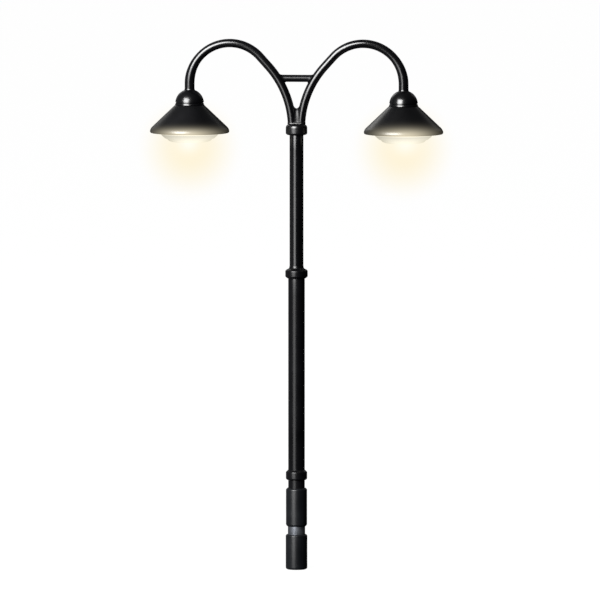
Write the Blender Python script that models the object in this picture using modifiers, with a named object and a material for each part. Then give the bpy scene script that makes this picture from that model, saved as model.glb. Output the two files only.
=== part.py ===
"""Twin-arm model railway lamp with a plug-in mast foot, scale 1:87.

Two conical shades with domed caps hang from swan-neck arms. The arms meet in a
fork on top of a stepped tubular mast, and the mast ends in a two-pole plug that
goes into a socket under the layout board.

Frame: metres, +Z up along the mast, +X towards the right-hand lamp. The origin is
on the mast's axis, at the underside of the base collar, where the board's socket
begins. All dimensions below are in millimetres.
"""

import math

import bmesh
import bpy
from mathutils import Matrix, Vector

MM = 0.001
ROUND = 32  # sides of a turned piece
GAP = 0.02  # clearance between pieces that touch

# Mast
LOWER_R, LOWER_BORE = 1.16, 0.99
LOWER_Z0, LOWER_Z1 = -5.00, 29.06
UPPER_R, UPPER_BORE = 0.97, 0.72
UPPER_Z0, UPPER_Z1 = 21.00, 49.07

# Arms: each rises straight out of the mast head, leans out on a wide bend, runs
# straight for a little, goes over the top on a tight bend and hangs down plumb.
ARM_R = 0.59
ARM_END_R = 0.69  # the lamp end is swaged up a little
SWAGE_Z, SWAGE_FALL = 59.80, 3.90  # where that begins, and over what height
ARM_WALL = 0.17
ARM_ROOT_X = 0.63
ARM_START_Z = 49.37
ARM_BEND_Z = 49.47
ARM_LEAN = math.radians(42.0)
CROWN_R = 5.66
CROWN_X, CROWN_Z = 9.35, 55.62
ARM_END_Z = 53.42
LAMP_X = CROWN_X + CROWN_R
BRACE_R, BRACE_Z, BRACE_HALF = 0.50, 56.39, 2.66
WEB_Z0, WEB_Z1, WEB_HALF_Y = 50.08, 52.32, 0.42

# Lamp head
CAP_R, CAP_Z = 2.01, 52.80
CAP_SOCKET_R, CAP_BORE_R, SPIGOT_R = ARM_END_R + GAP, 0.45, 1.22
CAP_SEAT_Z, SPIGOT_Z = 52.59, 51.77
SHADE_TOP_R, SHADE_TOP_Z = 2.05, 52.57
SHADE_RIM_R, SHADE_RIM_Z = 5.45, 49.33
SHADE_WALL = 0.25
SHADE_BOTTOM_Z = 48.68
BOARD_R, BOARD_Z0, BOARD_Z1 = 2.60, 51.39, 51.69
LED_SIZE = (3.0, 1.4, 0.8)
RESISTOR_SIZE = (1.6, 0.8, 0.45)

# Plug
NECK_Z = -1.15
SLEEVE_R, SLEEVE_Z0 = 1.48, -6.52
RING_R, RING_BORE, RING_Z0, RING_Z1 = 1.21, 0.97, -8.70, -5.60
TAIL_R, TAIL_Z0, TAIL_Z1 = 1.515, -12.60, -7.68
PIN_R = 0.40

LEAD_R = 0.08
LEAD_Y = 0.14


def clear_scene():
    for obj in list(bpy.data.objects):
        bpy.data.objects.remove(obj, do_unlink=True)


def make_collection(name, hidden=False):
    col = bpy.data.collections.new(name)
    bpy.context.scene.collection.children.link(col)
    col.hide_render = hidden
    return col


clear_scene()
LAMP = make_collection("twin_arm_model_lamp")
CUTTERS = make_collection("cutters", hidden=True)


def material(name, color, roughness, metallic, alpha=1.0, glow=0.0):
    mat = bpy.data.materials.new(name)
    mat.use_nodes = True
    bsdf = mat.node_tree.nodes["Principled BSDF"]
    bsdf.inputs["Base Color"].default_value = (*color, 1.0)
    bsdf.inputs["Roughness"].default_value = roughness
    bsdf.inputs["Metallic"].default_value = metallic
    bsdf.inputs["Alpha"].default_value = alpha
    bsdf.inputs["Emission Color"].default_value = (*color, 1.0)
    bsdf.inputs["Emission Strength"].default_value = glow
    return mat


BLACK_LACQUER = material("black_lacquer", (0.012, 0.012, 0.014), 0.28, 0.0)
BLACK_PLASTIC = material("black_plastic", (0.018, 0.018, 0.020), 0.42, 0.0)
NICKEL = material("nickel", (0.55, 0.56, 0.57), 0.30, 1.0)
BRASS = material("brass", (0.72, 0.52, 0.22), 0.30, 1.0)
WHITE_PLASTIC = material("white_plastic", (0.85, 0.84, 0.80), 0.50, 0.0)
FROSTED = material("frosted_plastic", (1.0, 0.93, 0.78), 0.35, 0.0, glow=1.0)
BOARD_GREEN = material("board", (0.86, 0.86, 0.82), 0.55, 0.0)
PHOSPHOR = material("led_phosphor", (1.0, 0.80, 0.35), 0.40, 0.0, glow=3.0)
CERAMIC = material("resistor_body", (0.03, 0.03, 0.04), 0.45, 0.0)
ENAMEL_RED = material("enamel_red", (0.45, 0.05, 0.03), 0.35, 0.0)
ENAMEL_GREEN = material("enamel_green", (0.04, 0.22, 0.08), 0.35, 0.0)
CORE_PLASTIC = material("natural_nylon", (0.80, 0.78, 0.70), 0.50, 0.0)


def cutter(obj):
    obj.hide_render = True
    obj.display_type = "WIRE"
    return obj


def link(obj, col=LAMP):
    col.objects.link(obj)
    return obj


def evaluated_mesh(obj):
    bpy.context.view_layer.update()
    graph = bpy.context.evaluated_depsgraph_get()
    return bpy.data.meshes.new_from_object(obj.evaluated_get(graph))


def shade(mesh, angle=32.0):
    mesh.shade_smooth()
    mesh.set_sharp_from_angle(angle=math.radians(angle))


def settle(obj, mat, angle=32.0):
    """Bakes the object's modifiers into its mesh, shades it and gives its material."""
    mesh = evaluated_mesh(obj)
    obj.modifiers.clear()
    obj.data = mesh
    mesh.name = obj.name
    shade(mesh, angle)
    mesh.materials.clear()
    mesh.materials.append(mat)
    return obj


def turned(name, profile, mat, x=0.0, closed=True, col=LAMP, sides=ROUND):
    """A turned piece. The profile runs down its outer side and, if closed, up its bore."""
    mesh = bpy.data.meshes.new(name)
    points = [(r * MM, 0.0, z * MM) for r, z in profile]
    edges = [(i, i + 1) for i in range(len(points) - 1)]
    if closed:
        edges.append((len(points) - 1, 0))
    mesh.from_pydata(points, edges, [])
    obj = link(bpy.data.objects.new(name, mesh), col)
    screw = obj.modifiers.new("turn", "SCREW")
    screw.axis = "Z"
    screw.angle = 2 * math.pi
    screw.steps = screw.render_steps = sides
    screw.use_merge_vertices = True
    screw.merge_threshold = 1e-6
    settle(obj, mat)
    obj.location.x = x * MM
    return obj


def copy_to_left(obj, name):
    """The left-hand lamp's piece shares its mesh with the right-hand one."""
    twin = link(bpy.data.objects.new(name, obj.data))
    twin.location = (-obj.location.x, obj.location.y, obj.location.z)
    return twin


def arm_path(x_sign=1.0, start_z=ARM_START_Z, end_z=ARM_END_Z, steps_bend=8, steps_crown=16):
    """Centre line of one arm, from the mast head to the lamp, with the run of each point."""
    s, c = math.sin(ARM_LEAN), math.cos(ARM_LEAN)
    # The wide bend's radius and the straight's length follow from joining the root to the crown.
    reach = CROWN_X - CROWN_R * c - ARM_ROOT_X
    rise = CROWN_Z + CROWN_R * s - ARM_BEND_Z
    # reach = bend * (1 - c) + straight * s ;  rise = bend * s + straight * c
    det = (1 - c) * c - s * s
    bend = (reach * c - rise * s) / det
    straight = ((1 - c) * rise - s * reach) / det
    points = [Vector((ARM_ROOT_X, 0.0, start_z))]
    for i in range(steps_bend + 1):
        a = ARM_LEAN * i / steps_bend
        points.append(
            Vector((ARM_ROOT_X + bend * (1 - math.cos(a)), 0.0, ARM_BEND_Z + bend * math.sin(a)))
        )
    points.append(points[-1] + Vector((s, 0.0, c)) * straight * 0.5)
    for i in range(steps_crown + 1):
        a = math.pi - ARM_LEAN - (math.pi - ARM_LEAN) * i / steps_crown
        points.append(
            Vector((CROWN_X + CROWN_R * math.cos(a), 0.0, CROWN_Z + CROWN_R * math.sin(a)))
        )
    points.append(Vector((LAMP_X, 0.0, (CROWN_Z + end_z) / 2)))
    points.append(Vector((LAMP_X, 0.0, end_z)))
    return [Vector((p.x * x_sign, p.y, p.z)) for p in points]


def smooth_step(t):
    t = max(0.0, min(1.0, t))
    return t * t * (3 - 2 * t)


def arm_radius(p):
    """The tube is swaged up little by little as it falls to the lamp."""
    if abs(p.x) < CROWN_X:
        return ARM_R
    return ARM_R + (ARM_END_R - ARM_R) * smooth_step((SWAGE_Z - p.z) / SWAGE_FALL)


def tube(name, path, radii, mat, col=LAMP, wall=None, sides_res=4):
    """A tube or rod along a path: a bevelled curve made a mesh, solid, or hollow with a wall."""
    data = bpy.data.curves.new(name, "CURVE")
    data.dimensions = "3D"
    data.bevel_depth = MM
    data.bevel_resolution = sides_res
    data.use_fill_caps = wall is None
    spline = data.splines.new("POLY")
    spline.points.add(len(path) - 1)
    for point, p, r in zip(spline.points, path, radii):
        point.co = (p.x * MM, p.y * MM, p.z * MM, 1.0)
        point.radius = r
    guide = link(bpy.data.objects.new(name + "_guide", data), col)
    mesh = evaluated_mesh(guide)
    bpy.data.objects.remove(guide, do_unlink=True)
    bm = bmesh.new()
    bm.from_mesh(mesh)
    bmesh.ops.remove_doubles(bm, verts=bm.verts, dist=1e-7)
    bmesh.ops.recalc_face_normals(bm, faces=bm.faces)
    bm.to_mesh(mesh)
    bm.free()
    obj = link(bpy.data.objects.new(name, mesh), col)
    if wall is not None:
        shell = obj.modifiers.new("wall", "SOLIDIFY")
        shell.thickness = wall * MM
        shell.offset = -1.0
        shell.use_even_offset = True
        shell.use_rim = True
    return settle(obj, mat, 40.0)


def box(name, size, centre, mat, bevel=0.0, col=LAMP):
    bm = bmesh.new()
    bmesh.ops.create_cube(bm, size=1.0)
    bmesh.ops.transform(
        bm,
        matrix=Matrix.Translation(Vector(centre) * MM)
        @ Matrix.Diagonal((size[0] * MM, size[1] * MM, size[2] * MM, 1.0)),
        verts=bm.verts,
    )
    mesh = bpy.data.meshes.new(name)
    bm.to_mesh(mesh)
    bm.free()
    obj = link(bpy.data.objects.new(name, mesh), col)
    if bevel:
        edge = obj.modifiers.new("edge", "BEVEL")
        edge.width = bevel * MM
        edge.segments = 1
        edge.limit_method = "ANGLE"
    return settle(obj, mat)


def rod(name, radius, length, centre, axis, mat, col=LAMP, sides=ROUND):
    """A plain cylinder along X, Y or Z."""
    bm = bmesh.new()
    bmesh.ops.create_cone(
        bm,
        cap_ends=True,
        cap_tris=False,
        segments=sides,
        radius1=radius * MM,
        radius2=radius * MM,
        depth=length * MM,
    )
    turn = {
        "Z": Matrix.Identity(4),
        "X": Matrix.Rotation(math.pi / 2, 4, "Y"),
        "Y": Matrix.Rotation(math.pi / 2, 4, "X"),
    }[axis]
    bmesh.ops.transform(
        bm, matrix=Matrix.Translation(Vector(centre) * MM) @ turn, verts=bm.verts
    )
    mesh = bpy.data.meshes.new(name)
    bm.to_mesh(mesh)
    bm.free()
    obj = link(bpy.data.objects.new(name, mesh), col)
    return settle(obj, mat)


def cut(obj, *others, mat=None):
    for i, other in enumerate(others):
        step = obj.modifiers.new(f"cut{i}", "BOOLEAN")
        step.operation = "DIFFERENCE"
        step.solver = "EXACT"
        step.object = other
    return settle(obj, mat or obj.data.materials[0])


# ---------------------------------------------------------------- mast

turned(
    "lower_mast_tube",
    [
        (LOWER_BORE, LOWER_Z1),
        (LOWER_R, LOWER_Z1),
        (LOWER_R, LOWER_Z0),
        (LOWER_BORE, LOWER_Z0),
    ],
    BLACK_LACQUER,
)
turned(
    "upper_mast_tube",
    [
        (UPPER_BORE, UPPER_Z1),
        (UPPER_R, UPPER_Z1),
        (UPPER_R, UPPER_Z0),
        (UPPER_BORE, UPPER_Z0),
    ],
    BLACK_LACQUER,
)
turned(
    "base_collar",
    [
        (LOWER_R + GAP, 1.46),
        (1.21, 1.41),
        (1.31, 1.30),
        (1.43, 1.16),
        (1.49, 0.98),
        (1.49, 0.38),
        (1.44, 0.19),
        (1.34, 0.06),
        (1.24, 0.00),
        (LOWER_R + GAP, 0.00),
    ],
    BLACK_LACQUER,
)
turned(
    "middle_collar",
    [
        (UPPER_R + GAP, 30.08),
        (1.03, 29.98),
        (1.09, 29.84),
        (1.20, 29.72),
        (1.39, 29.60),
        (1.51, 29.46),
        (1.57, 29.26),
        (1.57, 28.86),
        (1.53, 28.66),
        (1.42, 28.50),
        (1.28, 28.40),
        (LOWER_R + GAP, 28.34),
        (LOWER_R + GAP, 29.11),
        (UPPER_R + GAP, 29.11),
    ],
    BLACK_LACQUER,
)

# The mast head closes the mast, and both arms stand in pockets in its top.
POCKET_R, POCKET_Z = ARM_R + GAP, ARM_START_Z - 0.05
pockets = [
    cutter(rod(f"pocket_{side}", POCKET_R, 2.0, (x, 0, POCKET_Z + 1.0), "Z", BRASS, CUTTERS, 24))
    for side, x in (("left", -ARM_ROOT_X), ("right", ARM_ROOT_X))
]
head = turned(
    "mast_head",
    [
        (0.00, 50.06),
        (0.95, 50.06),
        (1.13, 50.01),
        (1.24, 49.92),
        (1.46, 49.63),
        (1.505, 49.50),
        (1.505, 48.76),
        (1.47, 48.62),
        (1.36, 48.52),
        (1.20, 48.46),
        (UPPER_R + GAP, 48.42),
        (UPPER_R + GAP, 49.12),
        (0.60, 49.12),
        (0.60, 49.37),
        (0.00, 49.37),
    ],
    BLACK_LACQUER,
    closed=False,
)
cut(head, *pockets)

# ---------------------------------------------------------------- arms, brace and web

for side, sign in (("right", 1.0), ("left", -1.0)):
    path = arm_path(sign)
    tube(f"{side}_arm", path, [arm_radius(p) for p in path], BLACK_LACQUER, wall=ARM_WALL)

around_arms = []
for side, sign in (("right", 1.0), ("left", -1.0)):
    path = arm_path(sign, start_z=ARM_START_Z - 0.6)
    around_arms.append(
        cutter(
            tube(
                f"around_{side}_arm",
                path,
                [arm_radius(p) + GAP for p in path],
                BRASS,
                CUTTERS,
            )
        )
    )

brace = rod("arm_brace", BRACE_R, 2 * BRACE_HALF, (0, 0, BRACE_Z), "X", BLACK_LACQUER, sides=24)
cut(brace, *around_arms)

# Solder web in the crotch of the fork, with a hollowed top edge.
web = box(
    "fork_web",
    (1.1, 2 * WEB_HALF_Y, WEB_Z1 - WEB_Z0),
    (0, 0, (WEB_Z0 + WEB_Z1) / 2),
    BLACK_LACQUER,
)
hollow = cutter(rod("web_hollow", 0.30, 2.0, (0, 0, WEB_Z1 + 0.10), "Y", BRASS, CUTTERS, 20))
cut(web, *around_arms, hollow)

# ---------------------------------------------------------------- lamp heads

# The cap is a dome over a narrow band, with a fine groove between them.
BAND_R, BAND_Z = 2.035, 52.90
dome = []
first = math.asin(CAP_SOCKET_R / CAP_R)
last = math.acos((BAND_Z + 0.07 - CAP_Z) / CAP_R)
for i in range(9):
    a = first + (last - first) * i / 8
    dome.append((CAP_R * math.sin(a), CAP_Z + CAP_R * math.cos(a)))
cap = turned(
    "right_lamp_cap",
    dome
    + [
        (CAP_R - 0.06, BAND_Z + 0.02),
        (BAND_R - 0.02, BAND_Z),
        (BAND_R, BAND_Z - 0.04),
        (BAND_R, CAP_SEAT_Z),
        (SPIGOT_R, CAP_SEAT_Z),
        (SPIGOT_R, SPIGOT_Z),
        (CAP_BORE_R, SPIGOT_Z),
        (CAP_BORE_R, ARM_END_Z - 0.05),
        (CAP_SOCKET_R, ARM_END_Z - 0.05),
    ],
    BLACK_LACQUER,
    LAMP_X,
)
copy_to_left(cap, "left_lamp_cap")

# The shade's inner face runs parallel to its outer face, one wall further in.
slope = Vector((SHADE_RIM_R - SHADE_TOP_R, SHADE_RIM_Z - SHADE_TOP_Z)).normalized()
inward = Vector((slope.y, -slope.x)) * SHADE_WALL
inner_top = (SHADE_TOP_R + inward.x, SHADE_TOP_Z + inward.y)
inner_rim = (SHADE_RIM_R + inward.x, SHADE_RIM_Z + inward.y)


def shade_inside(z):
    """Radius of the shade's inner face at height z."""
    return inner_top[0] + (inner_top[1] - z) * slope.x / -slope.y


lamp_shade = turned(
    "right_shade",
    [
        (SPIGOT_R + 0.03, SHADE_TOP_Z),
        (SHADE_TOP_R, SHADE_TOP_Z),
        (SHADE_RIM_R, SHADE_RIM_Z),
        (SHADE_RIM_R + 0.09, SHADE_RIM_Z - 0.14),
        (SHADE_RIM_R + 0.11, SHADE_RIM_Z - 0.32),
        (SHADE_RIM_R + 0.08, SHADE_RIM_Z - 0.50),
        (SHADE_RIM_R - 0.01, SHADE_BOTTOM_Z + 0.03),
        (SHADE_RIM_R - 0.12, SHADE_BOTTOM_Z),
        (SHADE_RIM_R - 0.20, SHADE_BOTTOM_Z + 0.08),
        (inner_rim[0], inner_rim[1]),
        (inner_top[0] + 0.02, inner_top[1] - 0.02),
        (SPIGOT_R + 0.03, inner_top[1] - 0.02),
    ],
    BLACK_LACQUER,
    LAMP_X,
)
copy_to_left(lamp_shade, "left_shade")

REFLECTOR_Z0, REFLECTOR_Z1 = 49.27, 51.27
reflector = turned(
    "right_reflector",
    [
        (shade_inside(REFLECTOR_Z1) - 0.27, REFLECTOR_Z1),
        (shade_inside(REFLECTOR_Z1) - 0.05, REFLECTOR_Z1),
        (shade_inside(REFLECTOR_Z0) - 0.05, REFLECTOR_Z0),
        (shade_inside(REFLECTOR_Z0) - 0.27, REFLECTOR_Z0),
    ],
    WHITE_PLASTIC,
    LAMP_X,
)
copy_to_left(reflector, "left_reflector")

board = rod(
    "right_led_board",
    BOARD_R,
    BOARD_Z1 - BOARD_Z0,
    (0, 0, (BOARD_Z0 + BOARD_Z1) / 2),
    "Z",
    BOARD_GREEN,
)
led = box("right_led", LED_SIZE, (0, 0, BOARD_Z0 - GAP - LED_SIZE[2] / 2), PHOSPHOR, 0.1)
resistor = box(
    "right_resistor",
    RESISTOR_SIZE,
    (0, 1.5, BOARD_Z0 - GAP - RESISTOR_SIZE[2] / 2),
    CERAMIC,
    0.05,
)
for piece in (board, led, resistor):
    piece.location.x = LAMP_X * MM
    copy_to_left(piece, piece.name.replace("right", "left"))

# The diffuser is a dish with a flange. Its bowl stands out below the rim of the shade.
diffuser = turned(
    "right_diffuser",
    [
        (0.00, 47.69),
        (1.50, 47.71),
        (2.50, 47.77),
        (3.10, 47.91),
        (3.46, 48.15),
        (3.72, 48.37),
        (3.82, 48.70),
        (3.86, 49.70),
        (4.33, 49.70),
        (4.33, 49.50),
        (4.15, 49.45),
        (4.12, 48.65),
        (4.00, 48.20),
        (3.72, 47.87),
        (3.30, 47.61),
        (2.60, 47.47),
        (1.50, 47.41),
        (0.00, 47.39),
    ],
    FROSTED,
    LAMP_X,
    closed=False,
)
copy_to_left(diffuser, "left_diffuser")

# ---------------------------------------------------------------- plug

turned(
    "upper_plug_sleeve",
    [
        (LOWER_R + GAP, NECK_Z),
        (1.31, NECK_Z),
        (1.42, NECK_Z - 0.07),
        (SLEEVE_R, NECK_Z - 0.24),
        (SLEEVE_R, SLEEVE_Z0 + 0.30),
        (1.43, SLEEVE_Z0 + 0.14),
        (1.31, SLEEVE_Z0),
        (RING_R + GAP, SLEEVE_Z0),
        (RING_R + GAP, RING_Z1 + 0.05),
        (RING_BORE, RING_Z1 + 0.05),
        (RING_BORE, LOWER_Z0 - 0.05),
        (LOWER_R + GAP, LOWER_Z0 - 0.05),
    ],
    BLACK_PLASTIC,
)
turned(
    "contact_ring",
    [
        (RING_BORE, RING_Z1),
        (RING_R - 0.04, RING_Z1),
        (RING_R, RING_Z1 - 0.04),
        (RING_R, RING_Z0 + 0.04),
        (RING_R - 0.04, RING_Z0),
        (RING_BORE, RING_Z0),
    ],
    NICKEL,
)
turned(
    "lower_plug_sleeve",
    [
        (RING_R + GAP, TAIL_Z1),
        (1.36, TAIL_Z1),
        (1.46, TAIL_Z1 - 0.08),
        (TAIL_R, TAIL_Z1 - 0.24),
        (TAIL_R, TAIL_Z0 + 0.22),
        (1.47, TAIL_Z0 + 0.07),
        (1.36, TAIL_Z0),
        (0.80, TAIL_Z0),
        (0.80, -12.08),
        (PIN_R + 0.03, -12.08),
        (PIN_R + 0.03, -11.58),
        (RING_BORE, -11.58),
        (RING_BORE, RING_Z0 - 0.05),
        (RING_R + GAP, RING_Z0 - 0.05),
    ],
    BLACK_PLASTIC,
)
turned(
    "plug_core",
    [
        (PIN_R + 0.03, -5.65),
        (0.94, -5.65),
        (0.94, -11.55),
        (PIN_R + 0.03, -11.55),
    ],
    CORE_PLASTIC,
)
turned(
    "tip_contact",
    [
        (0.00, -5.20),
        (0.31, -5.20),
        (PIN_R, -5.30),
        (PIN_R, -12.12),
        (0.77, -12.12),
        (0.77, -12.42),
        (0.72, -12.47),
        (0.00, -12.47),
    ],
    BRASS,
    closed=False,
)

# ---------------------------------------------------------------- leads


def through(points, per_span):
    """A smooth curve through the route's own points (Catmull-Rom)."""
    out = []
    ext = [2 * points[0] - points[1], *points, 2 * points[-1] - points[-2]]
    for i in range(1, len(ext) - 2):
        a, b, c, d = ext[i - 1 : i + 3]
        for k in range(per_span):
            t = k / per_span
            out.append(
                0.5
                * (
                    2 * b
                    + (c - a) * t
                    + (2 * a - 5 * b + 4 * c - d) * t * t
                    + (3 * b - a - 3 * c + d) * t * t * t
                )
            )
    out.append(points[-1])
    return out


def lead_path(x_sign, y_sign):
    """From the LED board up through the cap and the arm, down the mast, to the plug's contact."""
    y = LEAD_Y * y_sign
    over = [
        Vector((p.x, y, p.z))
        for p in reversed(arm_path(1.0, steps_bend=6, steps_crown=12))
        if p.z > 50.9
    ]
    rise = [Vector((LAMP_X, y, BOARD_Z1 + 0.06)), Vector((LAMP_X, y, 52.9))]
    drop = [Vector((0.62, y, 50.4)), Vector((0.48, y, 49.5)), Vector((0.37, y, 48.6))]
    run = [Vector((0.32, y, 47.4)), Vector((0.32, y, -3.4))]
    if y_sign > 0:
        end = [Vector((0.24, 0.14, -4.3)), Vector((0.14, 0.12, -5.08))]
    else:
        end = [Vector((0.22, -0.50, -4.3)), Vector((0.16, -0.84, -5.46))]
    bend_in = through([over[-1], *drop, run[0]], 3)[1:]
    bend_out = through([run[-1], *end], 3)[1:]
    points = rise + over + bend_in + [run[-1]] + bend_out
    return [Vector((p.x * x_sign, p.y, p.z)) for p in points]


for side, sign in (("right", 1.0), ("left", -1.0)):
    for pole, y_sign, mat in (("positive", 1.0, ENAMEL_RED), ("negative", -1.0, ENAMEL_GREEN)):
        path = lead_path(sign, y_sign)
        tube(f"{side}_lead_{pole}", path, [LEAD_R] * len(path), mat, sides_res=2)

bpy.context.view_layer.update()
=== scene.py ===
"""Looks of the twin-arm model railway lamp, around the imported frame."""

import math

import bmesh
import bpy
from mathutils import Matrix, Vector


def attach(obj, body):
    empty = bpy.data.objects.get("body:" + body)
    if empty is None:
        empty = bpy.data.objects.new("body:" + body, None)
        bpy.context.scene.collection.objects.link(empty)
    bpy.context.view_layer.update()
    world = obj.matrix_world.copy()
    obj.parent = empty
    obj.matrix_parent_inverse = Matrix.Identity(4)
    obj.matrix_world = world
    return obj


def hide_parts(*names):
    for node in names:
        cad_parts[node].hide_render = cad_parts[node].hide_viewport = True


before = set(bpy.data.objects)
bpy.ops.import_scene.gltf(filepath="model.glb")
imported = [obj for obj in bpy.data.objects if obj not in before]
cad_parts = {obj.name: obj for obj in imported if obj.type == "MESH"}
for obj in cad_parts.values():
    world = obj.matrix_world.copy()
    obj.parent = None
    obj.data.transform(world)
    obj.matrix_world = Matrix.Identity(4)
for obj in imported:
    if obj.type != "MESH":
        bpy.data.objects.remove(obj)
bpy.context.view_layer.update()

MM = 0.001
BODY = "root"
SCENE = bpy.context.scene

# ------------------------------------------------------------------ sizes, in millimetres, as in the CAD
GAP = 0.02
LOWER_R, LOWER_BORE, LOWER_Z0, LOWER_Z1 = 1.16, 0.99, -5.00, 29.06
UPPER_R, UPPER_BORE, UPPER_Z0, UPPER_Z1 = 0.97, 0.72, 21.00, 49.07
ARM_R, ARM_END_R, ARM_WALL = 0.59, 0.69, 0.17
SWAGE_Z, SWAGE_FALL = 59.80, 3.90
ARM_ROOT_X, ARM_START_Z, ARM_BEND_Z = 0.63, 49.37, 49.47
ARM_LEAN = math.radians(42.0)
CROWN_R, CROWN_X, CROWN_Z, ARM_END_Z = 5.66, 9.35, 55.62, 53.42
LAMP_X = CROWN_X + CROWN_R
BRACE_R, BRACE_Z = 0.50, 56.39
CAP_R, CAP_Z = 2.01, 52.80
CAP_SEAT_Z, SPIGOT_Z, SPIGOT_R, CAP_BORE_R = 52.59, 51.77, 1.22, 0.45
SHADE_TOP_R, SHADE_TOP_Z = 2.05, 52.57
SHADE_RIM_R, SHADE_RIM_Z, SHADE_WALL, SHADE_BOTTOM_Z = 5.45, 49.33, 0.25, 48.68
BOARD_R, BOARD_Z0, BOARD_Z1 = 2.60, 51.39, 51.69
RING_R, RING_BORE = 1.21, 0.97
PLUG_Z = -12.60


# ------------------------------------------------------------------ mesh helpers
def smooth_step(t):
    t = max(0.0, min(1.0, t))
    return t * t * (3 - 2 * t)


def fillet(points, closed=True, seg=5):
    """Rounds the corners of a profile. Each point is (r, z) or (r, z, radius of its corner)."""
    out = []
    n = len(points)
    for i, p in enumerate(points):
        rad = p[2] if len(p) > 2 else 0.0
        here = Vector((p[0], p[1]))
        if rad <= 0 or (not closed and i in (0, n - 1)):
            out.append((p[0], p[1]))
            continue
        a, b = points[i - 1], points[(i + 1) % n]
        u = Vector((a[0], a[1])) - here
        v = Vector((b[0], b[1])) - here
        lu, lv = u.length, v.length
        u.normalize()
        v.normalize()
        angle = math.acos(max(-1.0, min(1.0, u.dot(v))))
        if angle > math.pi - 0.02:
            out.append((p[0], p[1]))
            continue
        t = min(rad / math.tan(angle / 2), 0.48 * lu, 0.48 * lv)
        rad = t * math.tan(angle / 2)
        centre = here + (u + v).normalized() * (rad / math.sin(angle / 2))
        start, end = here + u * t - centre, here + v * t - centre
        turn = math.atan2(start.x * end.y - start.y * end.x, start.dot(end))
        for k in range(seg + 1):
            f = turn * k / seg
            c, s = math.cos(f), math.sin(f)
            out.append(
                (centre.x + start.x * c - start.y * s, centre.y + start.x * s + start.y * c)
            )
    return out


def finish_mesh(name, bm, mat, angle=38.0):
    bmesh.ops.recalc_face_normals(bm, faces=bm.faces)
    mesh = bpy.data.meshes.new(name)
    bm.to_mesh(mesh)
    bm.free()
    mesh.shade_smooth()
    mesh.set_sharp_from_angle(angle=math.radians(angle))
    obj = bpy.data.objects.new(name, mesh)
    SCENE.collection.objects.link(obj)
    for m in mat if isinstance(mat, (list, tuple)) else [mat]:
        mesh.materials.append(m)
    return obj


def place(obj, slot, *nodes):
    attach(obj, BODY)
    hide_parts(*nodes)
    return obj


def add_lathe(bm, profile, x=0.0, sides=96, closed=True):
    rings = []
    for r, z in profile:
        if r < 1e-6:
            rings.append([bm.verts.new((x * MM, 0.0, z * MM))])
            continue
        rings.append(
            [
                bm.verts.new(
                    (
                        (x + r * math.cos(2 * math.pi * k / sides)) * MM,
                        r * math.sin(2 * math.pi * k / sides) * MM,
                        z * MM,
                    )
                )
                for k in range(sides)
            ]
        )
    pairs = list(zip(rings, rings[1:])) + ([(rings[-1], rings[0])] if closed else [])
    for a, b in pairs:
        for k in range(sides):
            j = (k + 1) % sides
            if len(a) == 1 and len(b) == 1:
                continue
            if len(a) == 1:
                bm.faces.new((a[0], b[k], b[j]))
            elif len(b) == 1:
                bm.faces.new((a[k], b[0], a[j]))
            else:
                bm.faces.new((a[k], b[k], b[j], a[j]))


def lathe(name, profile, mat, x=0.0, sides=96, closed=True, angle=38.0):
    bm = bmesh.new()
    add_lathe(bm, profile, x, sides, closed)
    return finish_mesh(name, bm, mat, angle)


def split_long(profile, step):
    """Adds points along straight runs, so that a long tube's faces stay short."""
    out = []
    n = len(profile)
    for i in range(n):
        a, b = Vector(profile[i]), Vector(profile[(i + 1) % n])
        out.append((a.x, a.y))
        k = int((b - a).length // step)
        for j in range(1, k + 1):
            p = a.lerp(b, j / (k + 1))
            out.append((p.x, p.y))
    return out


def arm_path(steps_bend=26, steps_crown=64):
    """Centre line of the right arm from mast head to lamp, as in the CAD."""
    s, c = math.sin(ARM_LEAN), math.cos(ARM_LEAN)
    reach = CROWN_X - CROWN_R * c - ARM_ROOT_X
    rise = CROWN_Z + CROWN_R * s - ARM_BEND_Z
    det = (1 - c) * c - s * s
    bend = (reach * c - rise * s) / det
    straight = ((1 - c) * rise - s * reach) / det
    points = [Vector((ARM_ROOT_X, 0.0, ARM_START_Z))]
    for i in range(steps_bend + 1):
        a = ARM_LEAN * i / steps_bend
        points.append(
            Vector((ARM_ROOT_X + bend * (1 - math.cos(a)), 0.0, ARM_BEND_Z + bend * math.sin(a)))
        )
    last = points[-1].copy()
    for i in range(1, 7):
        points.append(last + Vector((s, 0.0, c)) * straight * i / 7)
    for i in range(steps_crown + 1):
        a = math.pi - ARM_LEAN - (math.pi - ARM_LEAN) * i / steps_crown
        points.append(
            Vector((CROWN_X + CROWN_R * math.cos(a), 0.0, CROWN_Z + CROWN_R * math.sin(a)))
        )
    for i in range(1, 7):
        points.append(Vector((LAMP_X, 0.0, CROWN_Z + (ARM_END_Z - CROWN_Z) * i / 6)))
    return points


ARM = arm_path()


def arm_x(z):
    """Where the rising part of the arm's centre line is at height z."""
    for a, b in zip(ARM, ARM[1:]):
        if a.z <= z <= b.z:
            return a.x + (b.x - a.x) * (z - a.z) / max(b.z - a.z, 1e-9)
    return ARM_ROOT_X


def arm_radius(p):
    if abs(p.x) < CROWN_X:
        return ARM_R
    return ARM_R + (ARM_END_R - ARM_R) * smooth_step((SWAGE_Z - p.z) / SWAGE_FALL)


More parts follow.
